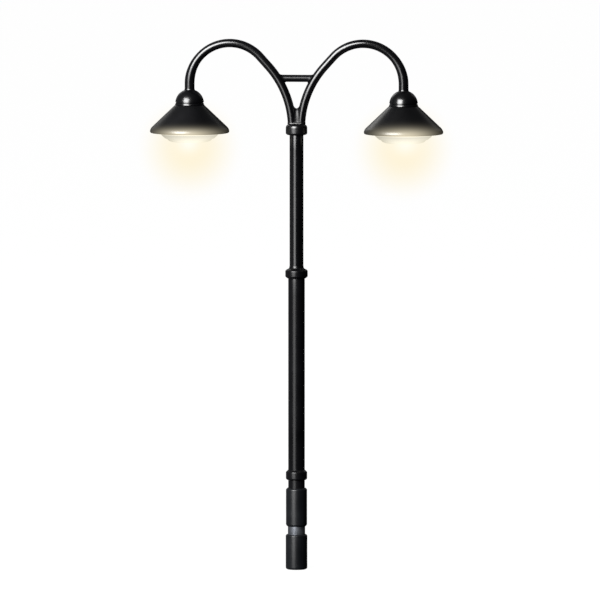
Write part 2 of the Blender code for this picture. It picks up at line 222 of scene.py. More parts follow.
def add_sweep(bm, path, outer, wall, sides=48):
    """A tube along a path that lies in the XZ plane, with an inner wall and closed ends."""
    rings_out, rings_in = [], []
    n = len(path)
    for i, p in enumerate(path):
        t = (path[min(i + 1, n - 1)] - path[max(i - 1, 0)]).normalized()
        side = Vector((t.z, 0.0, -t.x))
        for rings, r in ((rings_out, outer[i]), (rings_in, outer[i] - wall)):
            ring = []
            for k in range(sides):
                a = 2 * math.pi * k / sides
                v = p + side * (r * math.cos(a)) + Vector((0, 1, 0)) * (r * math.sin(a))
                ring.append(bm.verts.new(v * MM))
            rings.append(ring)
    for rings in (rings_out, rings_in):
        for a, b in zip(rings, rings[1:]):
            for k in range(sides):
                j = (k + 1) % sides
                bm.faces.new((a[k], b[k], b[j], a[j]))
    for a, b in ((rings_out[0], rings_in[0]), (rings_in[-1], rings_out[-1])):
        for k in range(sides):
            j = (k + 1) % sides
            bm.faces.new((a[k], b[k], b[j], a[j]))


# ------------------------------------------------------------------ materials
def new_material(name):
    mat = bpy.data.materials.new(name)
    mat.use_nodes = True
    nodes, links = mat.node_tree.nodes, mat.node_tree.links
    return mat, nodes, links, nodes["Principled BSDF"]


def coords(nodes, links, scale=(1.0, 1.0, 1.0)):
    """Object coordinates in millimetres, so that a noise scale of 1 has features about 1 mm wide."""
    tex = nodes.new("ShaderNodeTexCoord")
    mul = nodes.new("ShaderNodeVectorMath")
    mul.operation = "MULTIPLY"
    mul.inputs[1].default_value = [1000.0 * s for s in scale]
    links.new(tex.outputs["Object"], mul.inputs[0])
    return mul.outputs[0]


def noise(nodes, links, vec, scale, detail=3.0, rough=0.5, distortion=0.0):
    n = nodes.new("ShaderNodeTexNoise")
    n.inputs["Scale"].default_value = scale
    n.inputs["Detail"].default_value = detail
    n.inputs["Roughness"].default_value = rough
    n.inputs["Distortion"].default_value = distortion
    links.new(vec, n.inputs["Vector"])
    return n.outputs["Fac"]


def ramp(nodes, links, fac, lo, hi, a, b):
    """Maps fac from lo..hi to a..b."""
    m = nodes.new("ShaderNodeMapRange")
    m.inputs["From Min"].default_value = lo
    m.inputs["From Max"].default_value = hi
    m.inputs["To Min"].default_value = a
    m.inputs["To Max"].default_value = b
    links.new(fac, m.inputs["Value"])
    return m.outputs["Result"]


def math_node(nodes, links, op, a, b=None):
    m = nodes.new("ShaderNodeMath")
    m.operation = op
    for i, v in enumerate((a, b)):
        if v is None:
            continue
        if isinstance(v, (int, float)):
            m.inputs[i].default_value = v
        else:
            links.new(v, m.inputs[i])
    return m.outputs[0]


def mix_color(nodes, links, fac, a, b):
    m = nodes.new("ShaderNodeMix")
    m.data_type = "RGBA"
    if isinstance(fac, (int, float)):
        m.inputs[0].default_value = fac
    else:
        links.new(fac, m.inputs[0])
    for sock, v in ((m.inputs[6], a), (m.inputs[7], b)):
        if isinstance(v, (tuple, list)):
            sock.default_value = (*v, 1.0)
        else:
            links.new(v, sock)
    return m.outputs[2]


def bump(nodes, links, height, distance, strength=1.0, normal=None):
    b = nodes.new("ShaderNodeBump")
    b.inputs["Distance"].default_value = distance
    b.inputs["Strength"].default_value = strength
    links.new(height, b.inputs["Height"])
    if normal is not None:
        links.new(normal, b.inputs["Normal"])
    return b.outputs["Normal"]


def dust_nibs(nodes, links, vec, scale, size):
    """Small round lumps here and there, as dust leaves under a coat of lacquer. 0 off them, 1 on top."""
    v = nodes.new("ShaderNodeTexVoronoi")
    v.feature = "F1"
    v.inputs["Scale"].default_value = scale
    v.inputs["Randomness"].default_value = 1.0
    links.new(vec, v.inputs["Vector"])
    dot = ramp(nodes, links, v.outputs["Distance"], 0.0, size, 1.0, 0.0)
    dot = math_node(nodes, links, "MULTIPLY", dot, dot)
    pick = nodes.new("ShaderNodeSeparateColor")
    links.new(v.outputs["Color"], pick.inputs[0])
    keep = math_node(nodes, links, "GREATER_THAN", pick.outputs[0], 0.62)
    return math_node(nodes, links, "MULTIPLY", dot, keep)


def lacquer(name, rough, spread, peel, level=0.5, rings=0.0, base=(0.0007, 0.0007, 0.0009), tint=(0.0015, 0.0015, 0.0020)):
    """Sprayed black lacquer over brass: orange peel, a few dust nibs, and a sheen that wanders a little.
    On spun parts, the rings left by the tool still show faintly through it."""
    mat, nodes, links, bsdf = new_material(name)
    vec = coords(nodes, links)
    big = noise(nodes, links, vec, 0.22, 2.0, 0.5, 0.3)
    mid = noise(nodes, links, vec, 1.4, 3.0, 0.55)
    fine = noise(nodes, links, vec, 3.2, 2.0, 0.5)
    grit = noise(nodes, links, vec, 16.0, 2.0, 0.6)
    color = mix_color(nodes, links, ramp(nodes, links, big, 0.3, 0.7, 0.0, 1.0), base, tint)
    links.new(color, bsdf.inputs["Base Color"])
    wander = math_node(nodes, links, "ADD", ramp(nodes, links, big, 0.3, 0.7, -spread, spread), ramp(nodes, links, mid, 0.3, 0.7, -spread * 0.5, spread * 0.5))
    links.new(math_node(nodes, links, "ADD", wander, rough), bsdf.inputs["Roughness"])
    bsdf.inputs["Metallic"].default_value = 0.0
    bsdf.inputs["IOR"].default_value = 1.5
    bsdf.inputs["Specular IOR Level"].default_value = level
    n = bump(nodes, links, fine, 0.0000016 * peel)
    n = bump(nodes, links, grit, 0.0000003 * peel, 1.0, n)
    if rings:
        turned = noise(nodes, links, coords(nodes, links, (0.03, 0.03, 1.0)), 3.4, 2.0, 0.6)
        n = bump(nodes, links, turned, 0.0000016 * rings, 1.0, n)
    n = bump(nodes, links, dust_nibs(nodes, links, vec, 0.55, 0.085), 0.000014, 1.0, n)
    links.new(n, bsdf.inputs["Normal"])
    return mat


def moulded(name, base, tint, rough, spread, lines=0.0, level=0.5):
    """Turned or moulded plastic: fine grain, with faint rings left by the tool."""
    mat, nodes, links, bsdf = new_material(name)
    vec = coords(nodes, links)
    rings = coords(nodes, links, (0.05, 0.05, 1.0))
    big = noise(nodes, links, vec, 0.35, 3.0, 0.5)
    grain = noise(nodes, links, vec, 9.0, 3.0, 0.6)
    ring = noise(nodes, links, rings, 7.0, 2.0, 0.6)
    color = mix_color(nodes, links, ramp(nodes, links, big, 0.3, 0.7, 0.0, 1.0), base, tint)
    links.new(color, bsdf.inputs["Base Color"])
    r = math_node(nodes, links, "ADD", ramp(nodes, links, big, 0.3, 0.7, -spread, spread), ramp(nodes, links, ring, 0.3, 0.7, -spread, spread))
    links.new(math_node(nodes, links, "ADD", r, rough), bsdf.inputs["Roughness"])
    bsdf.inputs["IOR"].default_value = 1.5
    bsdf.inputs["Specular IOR Level"].default_value = level
    n = bump(nodes, links, grain, 0.0000010)
    if lines:
        n = bump(nodes, links, ring, 0.0000012 * lines, 1.0, n)
    links.new(n, bsdf.inputs["Normal"])
    return mat


def turned_metal(name, base, tint, rough, lines=1.0, tarnish=0.25):
    """Bare turned metal: close rings round the axis, and a little tarnish."""
    mat, nodes, links, bsdf = new_material(name)
    vec = coords(nodes, links)
    rings = coords(nodes, links, (0.04, 0.04, 1.0))
    ring = noise(nodes, links, rings, 14.0, 3.0, 0.7)
    wide = noise(nodes, links, rings, 3.0, 2.0, 0.5)
    cloud = noise(nodes, links, vec, 0.8, 4.0, 0.6)
    stain = math_node(nodes, links, "MULTIPLY", ramp(nodes, links, cloud, 0.42, 0.72, 0.0, 1.0), tarnish)
    color = mix_color(nodes, links, ring, base, tint)
    dark = mix_color(nodes, links, stain, color, tuple(c * 0.35 for c in base))
    links.new(dark, bsdf.inputs["Base Color"])
    bsdf.inputs["Metallic"].default_value = 1.0
    r = math_node(nodes, links, "ADD", ramp(nodes, links, wide, 0.3, 0.7, -0.05, 0.05), ramp(nodes, links, cloud, 0.3, 0.7, -0.04, 0.08))
    links.new(math_node(nodes, links, "ADD", r, rough), bsdf.inputs["Roughness"])
    bsdf.inputs["Anisotropic"].default_value = 0.5
    n = bump(nodes, links, ring, 0.0000022 * lines)
    links.new(n, bsdf.inputs["Normal"])
    return mat


GLOSS = lacquer("lacquer_gloss", 0.20, 0.03, 0.9)
SATIN = lacquer("lacquer_satin", 0.27, 0.03, 1.0, level=0.24, base=(0.0008, 0.0008, 0.0010), tint=(0.0018, 0.0018, 0.0023))
COLLAR = lacquer("lacquer_collar", 0.27, 0.03, 0.7, level=0.32)
HEAD = lacquer("lacquer_head", 0.29, 0.03, 0.7)
SHADE = lacquer("lacquer_shade", 0.32, 0.03, 0.25, level=0.42, rings=1.0)
CAP = lacquer("lacquer_cap", 0.25, 0.02, 0.3, base=(0.0004, 0.0004, 0.0006), tint=(0.0009, 0.0009, 0.0013))
SOLDER = lacquer("lacquer_solder", 0.31, 0.03, 0.5, level=0.20)
PLUG = moulded("plug_plastic", (0.0016, 0.0019, 0.0025), (0.0032, 0.0038, 0.0050), 0.34, 0.035, 1.0, 0.38)
NICKEL = turned_metal("contact_nickel", (0.155, 0.165, 0.185), (0.115, 0.122, 0.135), 0.41)
BRASS = turned_metal("tip_brass", (0.74, 0.53, 0.23), (0.62, 0.42, 0.17), 0.28, 0.8, 0.35)
LINING = moulded("white_lining", (0.80, 0.78, 0.73), (0.86, 0.85, 0.81), 0.45, 0.04, 0.6)
NYLON = moulded("nylon_core", (0.70, 0.67, 0.58), (0.80, 0.78, 0.70), 0.42, 0.04, 1.0)
LED_BODY = moulded("led_body", (0.78, 0.77, 0.73), (0.86, 0.85, 0.82), 0.40, 0.03)
CERAMIC = moulded("resistor_body", (0.018, 0.018, 0.022), (0.035, 0.035, 0.04), 0.45, 0.05)
TIN = turned_metal("resistor_ends", (0.66, 0.66, 0.65), (0.55, 0.55, 0.55), 0.35, 0.5, 0.2)


def board_material():
    """White solder mask with copper under it showing faintly as tracks."""
    mat, nodes, links, bsdf = new_material("board_mask")
    vec = coords(nodes, links)
    wave = nodes.new("ShaderNodeTexWave")
    wave.wave_type = "BANDS"
    wave.bands_direction = "DIAGONAL"
    wave.inputs["Scale"].default_value = 0.35
    wave.inputs["Distortion"].default_value = 1.2
    links.new(vec, wave.inputs["Vector"])
    track = ramp(nodes, links, wave.outputs["Fac"], 0.55, 0.65, 0.0, 1.0)
    speck = noise(nodes, links, vec, 6.0, 3.0, 0.6)
    color = mix_color(nodes, links, track, (0.80, 0.80, 0.76), (0.70, 0.69, 0.62))
    links.new(color, bsdf.inputs["Base Color"])
    links.new(ramp(nodes, links, speck, 0.3, 0.7, 0.42, 0.58), bsdf.inputs["Roughness"])
    links.new(bump(nodes, links, track, 0.00002, 1.0), bsdf.inputs["Normal"])
    return mat


def wire_material(name, base, tint):
    """Enamelled copper wire: clear coloured enamel over metal, with thin spots."""
    mat, nodes, links, bsdf = new_material(name)
    vec = coords(nodes, links)
    thin = noise(nodes, links, vec, 2.2, 3.0, 0.6)
    color = mix_color(nodes, links, ramp(nodes, links, thin, 0.35, 0.7, 0.0, 1.0), base, tint)
    links.new(color, bsdf.inputs["Base Color"])
    links.new(ramp(nodes, links, thin, 0.3, 0.7, 0.22, 0.38), bsdf.inputs["Roughness"])
    bsdf.inputs["Metallic"].default_value = 0.35
    bsdf.inputs["Coat Weight"].default_value = 0.5
    links.new(bump(nodes, links, noise(nodes, links, vec, 6.0), 0.000004), bsdf.inputs["Normal"])
    return mat


def phosphor_material():
    """The LED's yellow phosphor, lit."""
    mat, nodes, links, bsdf = new_material("led_phosphor")
    vec = coords(nodes, links)
    grain = noise(nodes, links, vec, 12.0, 4.0, 0.7)
    color = mix_color(nodes, links, grain, (1.0, 0.72, 0.22), (1.0, 0.84, 0.42))
    links.new(color, bsdf.inputs["Base Color"])
    links.new(mix_color(nodes, links, grain, (1.0, 0.86, 0.60), (1.0, 0.91, 0.70)), bsdf.inputs["Emission Color"])
    bsdf.inputs["Emission Strength"].default_value = 2.0
    links.new(ramp(nodes, links, grain, 0.3, 0.7, 0.35, 0.55), bsdf.inputs["Roughness"])
    links.new(bump(nodes, links, grain, 0.000006), bsdf.inputs["Normal"])
    return mat


def lamp_coords(nodes, links, vec):
    """Millimetres from a lamp's own axis, the same for both lamps: x outwards, y, z."""
    sep = nodes.new("ShaderNodeSeparateXYZ")
    links.new(vec, sep.inputs[0])
    side = math_node(nodes, links, "SUBTRACT", math_node(nodes, links, "ABSOLUTE", sep.outputs[0]), LAMP_X)
    return side, sep.outputs[1], sep.outputs[2]


# painted shade: weights a lamp's glow down towards its two sides
def painted_front_weight(nodes, links, side, y, least):
    """1 at the front and back of a lamp, less at its two sides. Its numbers are given, not worked out from the LED.
    """
    xx = math_node(nodes, links, "MULTIPLY", side, side)
    yy = math_node(nodes, links, "MULTIPLY", y, y)
    share = math_node(nodes, links, "DIVIDE", yy, math_node(nodes, links, "ADD", math_node(nodes, links, "ADD", xx, yy), 0.01))
    return ramp(nodes, links, share, 0.0, 1.0, least, 1.0)


def bell(nodes, links, value, centre, width):
    """exp(-((value - centre) / width) squared)"""
    d = math_node(nodes, links, "DIVIDE", math_node(nodes, links, "SUBTRACT", value, centre), width)
    return math_node(nodes, links, "EXPONENT", math_node(nodes, links, "MULTIPLY", math_node(nodes, links, "MULTIPLY", d, d), -1.0))


def dish_material():
    """Frosted plastic shown lit: it is opaque and glows by itself. Its glow carries painted shade, darker at its two
    sides, up its side, along the step and at the lip, and painted light, brighter towards +X.
    """
    mat, nodes, links, bsdf = new_material("frosted_dish")
    vec = coords(nodes, links)
    cloud = noise(nodes, links, vec, 0.9, 4.0, 0.6)
    frost = noise(nodes, links, vec, 7.0, 2.0, 0.5)
    links.new(mix_color(nodes, links, cloud, (0.060, 0.058, 0.050), (0.080, 0.077, 0.067)), bsdf.inputs["Base Color"])
    links.new(ramp(nodes, links, frost, 0.3, 0.7, 0.46, 0.54), bsdf.inputs["Roughness"])
    bsdf.inputs["IOR"].default_value = 1.46
    bsdf.inputs["Specular IOR Level"].default_value = 0.35
    links.new(mix_color(nodes, links, cloud, (1.0, 0.95, 0.80), (1.0, 0.965, 0.84)), bsdf.inputs["Emission Color"])
    side, y, z = lamp_coords(nodes, links, vec)
    front = painted_front_weight(nodes, links, side, y, 0.66)
    # painted shade: the glow is brightest on the dish's floor, fainter up its side, on the step and at the lip
    level = ramp(nodes, links, z, 47.55, 48.15, 1.05, 0.88)
    painted_step_shade = math_node(
        nodes,
        links,
        "ADD",
        math_node(nodes, links, "MULTIPLY", bell(nodes, links, z, 48.37, 0.13), 0.10),
        math_node(nodes, links, "MULTIPLY", bell(nodes, links, z, 48.74, 0.14), 0.26),
    )
    step = math_node(nodes, links, "SUBTRACT", 1.0, painted_step_shade)
    glow = math_node(nodes, links, "MULTIPLY", math_node(nodes, links, "MULTIPLY", level, step), front)
    # painted light: the glow below is made brighter towards +X
    # both dishes shine a little more towards +X, though each LED is on its lamp's axis
    sep = nodes.new("ShaderNodeSeparateXYZ")
    links.new(vec, sep.inputs[0])
    centre = math_node(nodes, links, "MULTIPLY", math_node(nodes, links, "SIGN", sep.outputs[0]), LAMP_X)
    across = math_node(nodes, links, "SUBTRACT", sep.outputs[0], centre)
    tilt = math_node(nodes, links, "ADD", math_node(nodes, links, "MULTIPLY", across, 0.05), 1.0)
    links.new(math_node(nodes, links, "MULTIPLY", glow, tilt), bsdf.inputs["Emission Strength"])
    links.new(bump(nodes, links, frost, 0.0000002), bsdf.inputs["Normal"])
    return mat


BOARD = board_material()
DISH = dish_material()
PHOSPHOR = phosphor_material()
WIRE_RED = wire_material("wire_enamel_red", (0.42, 0.05, 0.025), (0.50, 0.16, 0.06))
WIRE_GREEN = wire_material("wire_enamel_green", (0.03, 0.17, 0.07), (0.22, 0.22, 0.08))


# ------------------------------------------------------------------ mast
place(
    lathe(
        "mast_tube_lower",
        split_long(
            fillet(
                [
                    (LOWER_BORE, LOWER_Z1, 0.03),
                    (LOWER_R, LOWER_Z1, 0.03),
                    (LOWER_R, LOWER_Z0, 0.03),
                    (LOWER_BORE, LOWER_Z0, 0.03),
                ],
                seg=3,
            ),
            3.0,
        ),
        SATIN,
    ),
    "black_lacquer",
    "lower_mast_tube",
)
place(
    lathe(
        "mast_tube_upper",
        split_long(
            fillet(
                [
                    (UPPER_BORE, UPPER_Z1, 0.03),
                    (UPPER_R, UPPER_Z1, 0.03),
                    (UPPER_R, UPPER_Z0, 0.03),
                    (UPPER_BORE, UPPER_Z0, 0.03),
                ],
                seg=3,
            ),
            3.0,
        ),
        GLOSS,
    ),
    "black_lacquer",
    "upper_mast_tube",
)
place(
    lathe(
        "collar_middle",
        fillet(
            [
                (UPPER_R + 0.002, 30.10, 0.0),
                (UPPER_R + 0.05, 29.83, 0.16),
                (1.19, 29.66, 0.22),
                (1.40, 29.58, 0.12),
                (1.57, 29.42, 0.22),
                (1.57, 28.62, 0.20),
                (1.40, 28.45, 0.20),
                (1.24, 28.36, 0.04),
                (LOWER_R + 0.002, 28.34, 0.0),
                (LOWER_R + GAP, 29.11),
                (UPPER_R + GAP, 29.11),
            ],
            seg=7,
        ),
        COLLAR,
    ),
    "black_lacquer",
    "middle_collar",
)
place(
    lathe(
        "collar_base",
        fillet(
            [
                (LOWER_R + 0.002, 1.46, 0.0),
                (LOWER_R + 0.05, 1.38, 0.06),
                (1.30, 1.30, 0.10),
                (1.49, 1.12, 0.16),
                (1.49, 0.18, 0.17),
                (1.33, 0.02, 0.10),
                (LOWER_R + 0.03, 0.00, 0.02),
                (LOWER_R + 0.002, 0.04, 0.0),
            ],
            seg=7,
        ),
        COLLAR,
    ),
    "black_lacquer",
    "base_collar",
)


def mast_head():
    """The head's pockets are cut with the arms' own tubes, so a fine boolean is used."""
    head = lathe(
        "head_of_mast",
        fillet(
            [
                (0.00, 50.06),
                (0.98, 50.06, 0.10),
                (1.17, 49.99, 0.12),
                (1.34, 49.84, 0.10),
                (1.44, 49.74, 0.07),
                (1.503, 49.50, 0.10),
                (1.505, 48.74, 0.10),
                (1.44, 48.58, 0.12),
                (1.24, 48.48, 0.10),
                (UPPER_R + 0.05, 48.44, 0.03),
                (UPPER_R + 0.002, 48.42),
                (UPPER_R + 0.002, 49.12),
                (0.60, 49.12),
                (0.60, 49.37),
                (0.00, 49.37),
            ],
            closed=False,
            seg=6,
        ),
        HEAD,
        closed=False,
    )
    for k, x in enumerate((-ARM_ROOT_X, ARM_ROOT_X)):
        pocket = lathe(
            f"pocket_{k}",
            [(0.0, 52.0), (ARM_R + 0.004, 52.0), (ARM_R + 0.004, 49.32), (0.0, 49.32)],
            HEAD,
            x=x,
            closed=False,
        )
        cut = head.modifiers.new(f"pocket{k}", "BOOLEAN")
        cut.operation = "DIFFERENCE"
        cut.solver = "EXACT"
        cut.object = pocket
        bpy.context.view_layer.update()
        graph = bpy.context.evaluated_depsgraph_get()
        mesh = bpy.data.meshes.new_from_object(head.evaluated_get(graph))
        head.modifiers.clear()
        head.data = mesh
        bpy.data.objects.remove(pocket, do_unlink=True)
    head.data.shade_smooth()
    head.data.set_sharp_from_angle(angle=math.radians(38))
    head.data.materials.clear()
    head.data.materials.append(HEAD)
    return head


place(mast_head(), "black_lacquer", "mast_head")

# ------------------------------------------------------------------ arms, brace and web
for side, sign in (("right", 1.0), ("left", -1.0)):
    bm = bmesh.new()
    path = [Vector((p.x * sign, p.y, p.z)) for p in ARM]
    add_sweep(bm, path, [arm_radius(p) for p in path], ARM_WALL)
    place(finish_mesh(f"arm_{side}", bm, GLOSS), "black_lacquer", f"{side}_arm")


def brace_mesh():
    """A rod whose ends swell into the solder that holds them, and lean with the arms."""
    bm = bmesh.new()
    z = BRACE_Z
    dz = 0.3
    lean = (arm_x(z + dz) - arm_x(z - dz)) / (2 * dz)
    end = arm_x(z) - (ARM_R - 0.05) * math.sqrt(1 + lean * lean)
    sides, rings = 48, []
    stations = []
    for i in range(41):
        u = -1 + 2 * i / 40
        # closer together towards the ends
        stations.append(math.sin(u * math.pi / 2) * end)
    for x in stations:
        d = end - abs(x)
        swell = 0.10 * math.exp(-((d / 0.13) ** 1.5))
        tilt = math.exp(-((d / 0.55) ** 2))
        r = BRACE_R + swell
        ring = []
        for k in range(sides):
            a = 2 * math.pi * k / sides
            y, h = r * math.cos(a), r * math.sin(a)
            # more solder gathers under the rod than on it
            if h < 0:
                h -= swell * 0.35
            shift = math.copysign(1, x) * h * lean * tilt if abs(x) > 1e-9 else 0.0
            ring.append(bm.verts.new(Vector((x + shift, y, z + h)) * MM))
        rings.append(ring)
    for a, b in zip(rings, rings[1:]):
        for k in range(sides):
            j = (k + 1) % sides
            bm.faces.new((a[k], b[k], b[j], a[j]))
    bm.faces.new(rings[0])
    bm.faces.new(rings[-1])
    return finish_mesh("brace", bm, SOLDER, 50)


place(brace_mesh(), "black_lacquer", "arm_brace")


def web_mesh():
    """Solder between the arms. At each height it is bounded by the two tubes and by a hollow arc in front
    and behind; above its middle it goes on as a fillet up the inside of each arm."""
    bm = bmesh.new()
    z_mid, z0, z1 = 52.20, 50.05, 52.95
    rr = ARM_R - 0.02
    levels, across = 60, 16
    rows = []
    for i in range(levels + 1):
        z = z0 + (z1 - z0) * i / levels
        xc = arm_x(z)
        if z < z_mid:
            yf = 0.50 * (1 - math.exp(-(z_mid - z) / 0.75))
            yf += 0.13 * math.exp(-(((z - z0) / 0.16) ** 1.3))
        else:
            yf = -0.60 * (z - z_mid)
        rho = (xc * xc + yf * yf - rr * rr) / (2 * (rr - yf))
        cy = yf + rho
        x_end, y_end = rho * xc / (rho + rr), cy * rr / (rho + rr)
        x_start = 0.0 if yf >= 0 else math.sqrt(max(rho * rho - cy * cy, 0.0))
        front = []
        for k in range(across + 1):
            x = x_start + (x_end - x_start) * k / across
            y = max(cy - math.sqrt(max(rho * rho - x * x, 0.0)), 0.0)
            front.append((x, y))
        # on into the tube, where it isn't seen
        front.append((x_end + 0.12, y_end * 0.92))
        rows.append((z, front, yf < 0))
    for sign in (1, -1):
        grids = []
        for face in (-1, 1):
            grid = []
            for z, front, _ in rows:
                grid.append([bm.verts.new(Vector((sign * x, face * y, z)) * MM) for x, y in front])
            grids.append(grid)
            for a, b in zip(grid, grid[1:]):
                for k in range(len(a) - 1):
                    bm.faces.new((a[k], a[k + 1], b[k + 1], b[k]))
        # close the side that lies inside the tube, the top and the foot
        near, far = grids
        for a, b, c, d in zip(near, near[1:], far, far[1:]):
            bm.faces.new((a[-1], b[-1], d[-1], c[-1]))
        for end in (0, -1):
            for k in range(len(near[end]) - 1):
                bm.faces.new((near[end][k], near[end][k + 1], far[end][k + 1], far[end][k]))
    bmesh.ops.remove_doubles(bm, verts=bm.verts, dist=2e-7)
    bmesh.ops.dissolve_degenerate(bm, edges=bm.edges, dist=2e-7)
    return finish_mesh("solder_web", bm, SOLDER, 60)


def foot_mesh():
    """The bead of solder round the feet of both arms, where they go into the head."""
    bm = bmesh.new()
    x0 = arm_x(50.12)
    section = []
    for i in range(13):
        f = math.pi * 0.5 * i / 12
        section.append((0.135 * math.sin(f), 50.06 + 0.20 * math.cos(f)))
    section += [(0.11, 50.03), (-0.12, 50.03), (-0.12, 50.26)]
    outline = []
    for side in (1, -1):
        for i in range(33):
            f = -math.pi / 2 + math.pi * i / 32
            outline.append((side * x0, side * math.cos(f), side * math.sin(f)))
    rings = []
    for out, z in section:
        ring = []
        for cx, c, sn in outline:
            # thick in front and behind, thin at the sides
            thick = max(out, 0.0) * (0.25 + 0.75 * abs(sn)) + min(out, 0.0)
            r = ARM_R - 0.01 + thick
            ring.append(bm.verts.new(Vector((cx + r * c, r * sn, z)) * MM))
        rings.append(ring)
    n = len(outline)
    for a, b in zip(rings, rings[1:] + rings[:1]):
        for k in range(n):
            j = (k + 1) % n
            bm.faces.new((a[k], b[k], b[j], a[j]))
    return finish_mesh("solder_foot", bm, HEAD, 45)


place(web_mesh(), "black_lacquer", "fork_web")
foot = foot_mesh()
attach(foot, BODY)

# ------------------------------------------------------------------ lamp heads
BAND_R, BAND_Z = 2.035, 52.90


def cap_profile():
    pts = []
    # lacquer drawn up round the tube
    tube_r = ARM_END_R + 0.003
    join = 0.93
    a0 = math.asin(join / CAP_R)
    z_join = CAP_Z + CAP_R * math.cos(a0)
    z_top = z_join + 0.30
    for i in range(7):
        t = i / 7
        f = t * math.pi / 2
        pts.append((tube_r + (join - tube_r) * (1 - math.cos(f)), z_top - (z_top - z_join) * math.sin(f)))
    last = math.acos((BAND_Z + 0.095 - CAP_Z) / CAP_R)
    for i in range(29):
        a = a0 + (last - a0) * i / 28
        pts.append((CAP_R * math.sin(a), CAP_Z + CAP_R * math.cos(a)))
    low = [
        (CAP_R - 0.10, BAND_Z + 0.065, 0.03),
        (CAP_R - 0.10, BAND_Z - 0.03, 0.03),
        (BAND_R - 0.075, BAND_Z - 0.05, 0.04),
        (BAND_R, BAND_Z - 0.25, 0.06),
        (BAND_R, CAP_SEAT_Z, 0.03),
        (SPIGOT_R, CAP_SEAT_Z),
        (SPIGOT_R, SPIGOT_Z),
        (CAP_BORE_R, SPIGOT_Z),
        (CAP_BORE_R, ARM_END_Z - 0.05),
        (ARM_END_R + GAP, ARM_END_Z - 0.05),
        (ARM_END_R + GAP, z_top - 0.25),
    ]
    return pts + fillet(low, closed=False, seg=4)


slope = Vector((SHADE_RIM_R - SHADE_TOP_R, SHADE_RIM_Z - SHADE_TOP_Z)).normalized()
inward = Vector((slope.y, -slope.x)) * SHADE_WALL
inner_top = (SHADE_TOP_R + inward.x, SHADE_TOP_Z + inward.y)
inner_rim = (SHADE_RIM_R + inward.x, SHADE_RIM_Z + inward.y)


def shade_inside(z):
    return inner_top[0] + (inner_top[1] - z) * slope.x / -slope.y


def shade_profile():
    """A straight cone whose foot is rolled: it turns down in one wide bend, and tightly at the very edge."""
    bend, edge, turn, most = 1.0, 0.20, math.radians(8.0), SHADE_RIM_R + 0.105
    lean = math.atan2(slope.x, -slope.y)
    r0 = most - edge * (1 - math.cos(turn)) - bend * (math.cos(turn) - math.cos(lean))
    z0 = SHADE_TOP_Z + (r0 - SHADE_TOP_R) * slope.y / slope.x
    roll = []
    for i in range(13):
        a = lean + (turn - lean) * i / 12
        roll.append((r0 + bend * (math.cos(a) - math.cos(lean)), z0 - bend * (math.sin(lean) - math.sin(a))))
    for i in range(1, 4):
        a = turn * (1 - i / 3)
        roll.append((most - edge * (1 - math.cos(a)), z0 - bend * (math.sin(lean) - math.sin(turn)) - edge * (math.sin(turn) - math.sin(a))))
    outer = fillet(
        [
            (SPIGOT_R + 0.03, SHADE_TOP_Z),
            (SHADE_TOP_R - 0.02, SHADE_TOP_Z, 0.03),
            (SHADE_TOP_R + 0.03, SHADE_TOP_Z - 0.028, 0.05),
            *roll,
            (SHADE_RIM_R + 0.05, SHADE_BOTTOM_Z + 0.03, 0.14),
            (SHADE_RIM_R - 0.20, SHADE_BOTTOM_Z, 0.09),
            (SHADE_RIM_R - 0.22, SHADE_BOTTOM_Z + 0.16, 0.12),
            (inner_rim[0], inner_rim[1], 0.15),
            (inner_top[0] + 0.02, inner_top[1] - 0.02, 0.10),
            (SPIGOT_R + 0.03, inner_top[1] - 0.02),
        ],
        closed=False,
        seg=7,
    )
    return split_long(outer, 0.6)


def dish_profile():
    """A stepped dish: a lip under the flange, a bevelled side, a step and a slightly crowned floor."""
    return fillet(
        [
            (0.00, 47.64),
            (1.60, 47.66, 0.8),
            (2.50, 47.72, 0.25),
            (2.82, 47.93, 0.12),
            (3.02, 48.00, 0.10),
            (3.40, 48.38, 0.20),
            (3.72, 48.70, 0.15),
            (3.86, 49.70, 0.03),
            (4.33, 49.70, 0.05),
            (4.33, 49.50, 0.05),
            (4.13, 49.45, 0.05),
            (4.10, 48.66, 0.10),
            (4.00, 48.50, 0.05),
            (3.92, 48.34, 0.14),
            (3.44, 47.92, 0.16),
            (3.20, 47.86, 0.06),
            (2.92, 47.58, 0.16),
            (2.55, 47.45, 0.20),
            (1.60, 47.40, 0.8),
            (0.00, 47.39),
        ],
        closed=False,
        seg=6,
    )


def rounded_box(bm, centre, size, r, mat_index=0):
    made = bmesh.ops.create_cube(bm, size=1.0)["verts"]
    for v in made:
        v.co = Vector(
            (centre[i] + v.co[i] * size[i]) * MM for i in range(3)
        )
    edges = list({e for v in made for e in v.link_edges})
    if r:
        done = bmesh.ops.bevel(bm, geom=edges, offset=r * MM, segments=3, profile=0.5, affect="EDGES")
        faces = {f for v in done["verts"] for f in v.link_faces}
        made = {v for f in faces for v in f.verts}
    for f in {f for v in made for f in v.link_faces}:
        f.material_index = mat_index


